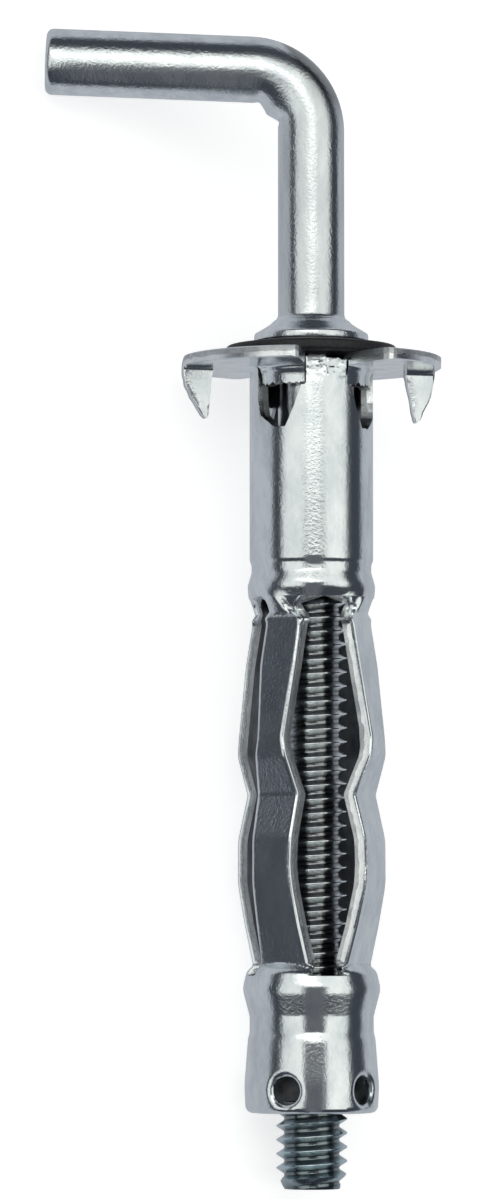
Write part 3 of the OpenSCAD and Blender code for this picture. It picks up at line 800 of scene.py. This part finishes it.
def window_edge(t, mirror):
    """Depth of the wall's upper edge, which was sheared at the window and is ragged there."""
    if t <= stub_edge:
        return skirt_depth
    if t >= window_far:
        return root_depth
    unevenness, fading = 0.12, 20
    place = tube_r * math.sin(math.radians(angle_of(t)) - window_middle) / window_w
    calm = min(1, max(0, t - window_near) * fading, (window_far - t) * fading)
    return window_low(place) + ragged(t * 9, mirror[0] + 2 * mirror[1], unevenness) * calm


def lay_window_wall(mirror):
    """The wall beside and under the window."""
    edges = [window_edge(t, mirror) for t in sheet_columns]
    lay_patch([
        [wall_point(t, edge + (wall_top - edge) * down, mirror) for t, edge in zip(sheet_columns, edges)]
        for down in (0, 0.02, 0.06, 0.15, 0.35, 0.65, 1)
    ])


stub_rows = [skirt_depth, 1.1, 0.95, 0.85, 0.78, 0.72, 0.62, 0.5, 0.38, 0.26, 0.14, 0.02]
stub_rows += [-0.1, -0.22, -0.32, -0.4]


def lay_stub(mirror):
    """The wall that stands up between the ears, drawn in and uneven where it was torn."""
    torn_from, torn_run, drawn_in, coarse, fine = 1.15, 0.7, 0.05, 0.07, 0.03
    top_from, top_unevenness = -0.3, 0.2
    rows = []
    for s in stub_rows:
        torn = smooth_step((torn_from - s) / torn_run)
        rows.append([])
        for t in stub_columns:
            rough = drawn_in + ragged(t * 20, 1.6 * s + mirror[0], coarse) + ragged(t * 47, 3.3 * s, fine)
            pull = torn * rough
            lift = ragged(t * 17, mirror[0], top_unevenness) if s < top_from else 0.0
            rows[-1].append(wall_point(t, s + lift, mirror, max(0.0, pull)))
    lay_patch(rows)


def lay_root(mirror):
    """The root of an ear, where the wall folds out into the flange over the claw."""
    rows = [[wall_point(t, s, mirror) for t in root_columns] for s in (root_depth, 1.7, 1.1, 0.6)]
    rows += [[fold_point(angle_of(t), turn, mirror) for t in root_columns] for turn in fold_turns]
    rows += [[ear_point(angle_of(t), radius, mirror) for t in root_columns] for radius in ear_radii]
    lay_patch(rows)


def ear_angle(t, torn):
    """Angle of an ear's column. The torn skirt is a little narrower than the ear."""
    start_in, end_in = 0.8, 4
    start, end = ear_start + start_in * torn, window_end - end_in * torn
    return start + (end - start) * (angle_of(t) - window_start) / (window_end - window_start)


def lay_ear(mirror):
    """The rest of an ear, with the short torn skirt that hangs from its fold into the window."""
    hang = skirt_depth if mirror[1] > 0 else back_skirt_depth
    unevenness = 0.25
    rows = []
    for depth, inset in ((hang, 0.2), (0.9, 0.19), (0.6, 0.15), (0.42, 0.06)):
        rows.append([])
        for t in ear_columns:
            angle = ear_angle(t, 1.0)
            edge = depth
            if depth == hang:
                edge += ragged(t * 14, mirror[0] * 2 + mirror[1], unevenness)
            rows[-1].append(sheet_point(
                round_place(angle, tube_r - inset, edge, mirror),
                round_place(angle, tube_r - sheet_t - inset * 0.5, edge, mirror),
            ))
    for k, turn in enumerate(fold_turns):
        torn = 1 - smooth_step(k / fold_steps)
        rows.append([fold_point(ear_angle(t, torn), turn, mirror) for t in ear_columns])
    rows += [[ear_point(ear_angle(t, 0.0), radius, mirror) for t in ear_columns] for radius in ear_radii]
    lay_patch(rows)


def lay_claw(side, tip_in):
    """A claw: the strip at the notch is folded down square and ends in a blunt, sheared point."""
    tip, tip_w, blunting, unevenness, edge_thinning = claw_root + tip_in, 0.3, 0.12, 0.09, 0.06
    inner_edge = eased([(fold_r, claw_root, 0), (claw_length, tip, 0)])
    outer_edge = eased([(fold_r, flange_r, 0), (1.4, flange_r - 0.15, 4), (claw_length, tip + tip_w, 0)])
    claw_radii = [r for r in ear_radii if r >= claw_root]
    rows = []
    for k in range(fold_steps + 1):
        turn = math.pi / 2 * k / fold_steps
        rows.append([])
        for r in claw_radii:
            faces = (fold_r + rim_drop(r), fold_r + sheet_t - rim_drop(r))
            rows[-1].append(sheet_point(*(
                (side * r, face * math.sin(turn), face * math.cos(turn) - fold_r) for face in faces
            )))
    for depth in (0.6, 0.9, 1.3, 1.7, 2.1, 2.5, 2.8, 3.1, 3.3, 3.42, 3.48, claw_length):
        blunt = blunting * smooth_step((depth - 3.3) / 0.2)
        rough = ragged(depth * 1.7, side, unevenness)
        low, high = inner_edge(depth) + blunt * 0.5 + rough * 0.6, outer_edge(depth) - blunt + rough
        rows.append([])
        for r in claw_radii:
            share = (r - claw_root) / (flange_r - claw_root)
            place = side * (low + (high - low) * share)
            thin = edge_thinning * smooth_step(abs(share - 0.5) * 8 - 3)
            rows[-1].append(sheet_point(
                (place, fold_r + thin, -depth), (place, fold_r + sheet_t - thin - 0.2 * blunt, -depth)
            ))
    lay_patch(rows)


for mirror in ((1, 1), (-1, 1), (1, -1), (-1, -1)):
    lay_crimp(lay_wall(mirror), mirror)
    lay_window_wall(mirror)
    lay_stub(mirror)
    lay_root(mirror)
    lay_ear(mirror)
for side, tip_in in ((1, 0.65), (-1, 0.35)):
    lay_claw(side, tip_in)

# A cut edge belongs to one face. It is bright and smooth where the punch went in, and dull and torn over the
# rest of the sheet's thickness.
edge_uses = {}
for face in sheet_faces:
    for a, b in zip(face, face[1:] + face[:1]):
        edge_uses.setdefault((min(a, b), max(a, b)), []).append((a, b))
skin = len(outer_skin)
mid_places, mid_of, burnished, torn_off = [], {}, [], []
for a, b in (uses[0] for uses in edge_uses.values() if len(uses) == 1):
    for corner in (a, b):
        if corner not in mid_of:
            mid_of[corner] = 2 * skin + len(mid_places)
            outer, inner = Vector(outer_skin[corner]), Vector(inner_skin[corner])
            mid_places.append(tuple(outer.lerp(inner, 0.5 + 0.25 * noise.noise(outer * 2.3))))
    burnished.append((b, a, mid_of[a], mid_of[b]))
    torn_off.append((mid_of[b], mid_of[a], a + skin, b + skin))
inner_faces = [[c + skin for c in reversed(face)] for face in sheet_faces]
sleeve_mesh = bpy.data.meshes.new("sleeve_sheet")
sleeve_faces = sheet_faces + inner_faces + burnished + torn_off
sleeve_mesh.from_pydata(outer_skin + inner_skin + mid_places, [], sleeve_faces)

# Each face's finish. The inner face counts as the inside of the sleeve where it lies in the tube, and there
# its zinc is darkened as painted shade.
first_inner, first_cut = len(sheet_faces), 2 * len(sheet_faces)
first_torn = first_cut + len(burnished)
below_flange, inside_r = -0.5, 5.6
for face in sleeve_mesh.polygons:
    if face.index >= first_torn:
        face.material_index = 2
    elif face.index >= first_cut:
        face.material_index = 1
    elif face.index >= first_inner and face.center.z < below_flange and face.center.xy.length < inside_r:
        face.material_index = 3
sleeve_zinc = [
    zinc_plate(
        "zinc on pressed sheet", colour=zinc_colour, shade=zinc_shade, roughness=0.14,
        grain=0.2, grain_depth=0.013, streaks=0.5,
    ),
    zinc_plate(
        "zinc on cut edges", colour=(0.92, 0.94, 0.94), shade=(0.76, 0.79, 0.8), roughness=0.15,
        grain=0.09, grain_depth=0.015, streaks=1.0,
    ),
    zinc_plate(
        "zinc on torn edges", colour=(0.66, 0.68, 0.68), shade=(0.4, 0.42, 0.43), roughness=0.3,
        grain=0.12, grain_depth=0.035, streaks=1.0,
    ),
    # Painted shade: the zinc inside the tube is darkened to stand for the shade that falls there
    zinc_plate(
        "zinc inside the sleeve darkened as painted shade", colour=(0.2, 0.21, 0.215), shade=(0.09, 0.095, 0.1), roughness=0.34,
        grain=0.2, grain_depth=0.018, streaks=0.5,
    ),
]
shaping = bmesh.new()
shaping.from_mesh(sleeve_mesh)
bmesh.ops.recalc_face_normals(shaping, faces=shaping.faces)
shaping.to_mesh(sleeve_mesh)
shaping.free()
sleeve_mesh.transform(Matrix.Rotation(math.radians(sleeve_turn), 4, "Z"))

# The square ends of the slots are drawn with very thin rows, which the shading must not blend with the wall
level_edges = []
for edge in sleeve_mesh.edges:
    first, last = (-sleeve_mesh.vertices[v].co.z for v in edge.vertices)
    if abs(first - last) < 1e-4 and (-0.001 < first - bulb_top < 0.02 or -0.02 < first - foot_end < 0.002):
        level_edges.append(edge.index)
finished_piece("sleeve_sheet", sleeve_mesh, "sleeve", ["expansion_sleeve"], sleeve_zinc, 20)
for index in level_edges:
    sleeve_mesh.edges[index].use_edge_sharp = True

# ------------------------------------------------------------------ floor, light and camera
# The anchor lies on a plain pale floor under a large soft light, as in a product studio. Its plating
# reflects a dark flag and the surround, which is a pale card between darker walls. None of these is part
# of the anchor.
def flat_piece(name, corners, material):
    mesh = bpy.data.meshes.new(name)
    mesh.from_pydata(corners, [], [(0, 1, 2, 3)])
    mesh.materials.append(material)
    piece = bpy.data.objects.new(name, mesh)
    bpy.context.scene.collection.objects.link(piece)
    return piece


def pale_paper(name):
    """Paper that glows a little for the camera alone, so that it looks white and its glow lights nothing."""
    material, tree, shader = new_material(name)
    shader.inputs["Base Color"].default_value = (0.78, 0.78, 0.78, 1)
    shader.inputs["Roughness"].default_value = 0.9
    shader.inputs["Emission Color"].default_value = (1, 1, 1, 1)
    glow = new_node(tree, "Math", "MULTIPLY")
    glow.inputs[1].default_value = 0.66
    tree.links.new(new_node(tree, "LightPath").outputs["Is Camera Ray"], glow.inputs[0])
    tree.links.new(glow.outputs["Value"], shader.inputs["Emission Strength"])
    return material


def dark_cloth(name):
    material, _, shader = new_material(name)
    shader.inputs["Base Color"].default_value = (0.02, 0.02, 0.02, 1)
    shader.inputs["Emission Color"].default_value = (0.1, 0.105, 0.12, 1)
    shader.inputs["Emission Strength"].default_value = 1.0
    return material


floor_half = 1.5
floor_z = cad_box[0].z
floor_corners = [(x * floor_half, y * floor_half, floor_z) for x, y in ((-1, -1), (1, -1), (1, 1), (-1, 1))]
floor = flat_piece("floor", floor_corners, pale_paper("pale paper"))
floor.visible_glossy = False

# The camera's places and distance are millimetres along the screw's own axes
camera_fall = math.radians(-3.4)
picture_height = 82.9
camera_distance = 400.0
sensor_size = 36.0
aim = Vector((-4.76, 0, -16.0))
camera_data = bpy.data.cameras.new("camera")
camera_data.lens = sensor_size * camera_distance / picture_height
camera_data.clip_start = 0.01
camera_data.clip_end = 20.0
camera = bpy.data.objects.new("camera", camera_data)
bpy.context.scene.collection.objects.link(camera)
stand = aim + camera_distance * Vector((0, -math.cos(camera_fall), math.sin(camera_fall)))
turn_only = laid_down.to_3x3() * 1000
tilted = (turn_only @ Matrix.Rotation(math.pi / 2 - camera_fall, 3, "X")).to_4x4()
camera.matrix_world = Matrix.Translation(laid_down @ stand) @ tilted
bpy.context.scene.camera = camera

# The overhead light faces the middle of the anchor. Its sizes and distance are metres.
middle = laid_down @ Vector((-4, 0, -16))
to_camera = (camera.matrix_world.translation - middle).normalized()
light_way = to_camera + 0.45 * along - 0.1 * across
light_distance = 0.6
light_data = bpy.data.lights.new("overhead light", "AREA")
light_data.shape = "RECTANGLE"
light_data.size = 0.14
light_data.size_y = 0.5
light_data.energy = 0.16
light_data.color = (1.0, 1.0, 0.97)
light = bpy.data.objects.new("overhead light", light_data)
bpy.context.scene.collection.objects.link(light)
light.location = middle + light_way.normalized() * light_distance
light.rotation_mode = "QUATERNION"
light.rotation_quaternion = (-light_way).to_track_quat("-Z", "Y")

# A dark flag stands between the camera and the anchor, from the flange down. It shows only in reflections.
flag_left, flag_right, flag_top, flag_foot, flag_front = -50, 85, -2, -700, -190
flag_places = ((flag_left, flag_top), (flag_right, flag_top), (flag_right, flag_foot), (flag_left, flag_foot))
flag_corners = [laid_down @ Vector((x, flag_front, z)) for x, z in flag_places]
flag = flat_piece("flag", flag_corners, dark_cloth("dark cloth"))
flag.visible_camera = flag.visible_diffuse = False

# The surround: a wide pale card with a brighter strip, and darker walls round it
world = bpy.data.worlds.new("studio")
bpy.context.scene.world = world
world.use_nodes = True
room = world.node_tree
way_in = new_node(room, "TexCoord")
up_way = (along - along.dot(to_camera) * to_camera).normalized()
right_way = up_way.cross(to_camera)


def part_along(way):
    dot = new_node(room, "VectorMath", "DOT_PRODUCT")
    dot.inputs[1].default_value = way
    room.links.new(way_in.outputs["Generated"], dot.inputs[0])
    return dot.outputs["Value"]


def stepped(value, low, high):
    """Rises softly from 0 to 1 as the value goes from low to high."""
    step = new_node(room, "MapRange", From_Min=low, From_Max=high)
    step.interpolation_type = "SMOOTHSTEP"
    room.links.new(value, step.inputs["Value"])
    return step.outputs["Result"]


def worked(operation, first, second):
    node = new_node(room, "Math", operation)
    room.links.new(first, node.inputs[0])
    room.links.new(second, node.inputs[1])
    return node.outputs["Value"]


turn_right = worked("ARCTAN2", part_along(right_way), part_along(to_camera))
height_up = part_along(up_way)
card_left = stepped(turn_right, math.radians(-61), math.radians(-54))
card_right = stepped(turn_right, math.radians(74), math.radians(64))
card = worked("MULTIPLY", card_left, card_right)
for card_end in (stepped(height_up, -0.4, -0.3), stepped(height_up, 0.73, 0.66)):
    card = worked("MULTIPLY", card, card_end)
across_card = new_node(room, "MapRange", From_Min=math.radians(-57), From_Max=math.radians(69))
room.links.new(turn_right, across_card.inputs["Value"])
strip_greys = ((0.3, 0.92), (0.38, 1.0), (0.42, 1.4), (0.46, 1.05), (0.55, 0.96), (0.8, 1.0))
strip_stops = [(place, (grey * 0.98, grey, grey * 0.97)) for place, grey in strip_greys]
strip_left, strip_right = (0.0, (0.78, 0.8, 0.8)), (1.0, (0.9, 0.92, 0.9))
strip = colour_ramp(room, across_card.outputs["Result"], strip_left, *strip_stops, strip_right)
dark_side = stepped(part_along((to_camera + 0.25 * right_way).normalized()), -0.1, 0.02)
walls = blended(room, dark_side, (0.47, 0.49, 0.53), (0.05, 0.056, 0.07))
lit = blended(room, card, walls, strip)
for_camera = new_node(room, "LightPath").outputs["Is Camera Ray"]
surround = blended(room, for_camera, lit, (0.95, 0.95, 0.95))
room.links.new(surround, room.nodes["Background"].inputs["Color"])
bpy.context.scene.view_settings.view_transform = "Standard"
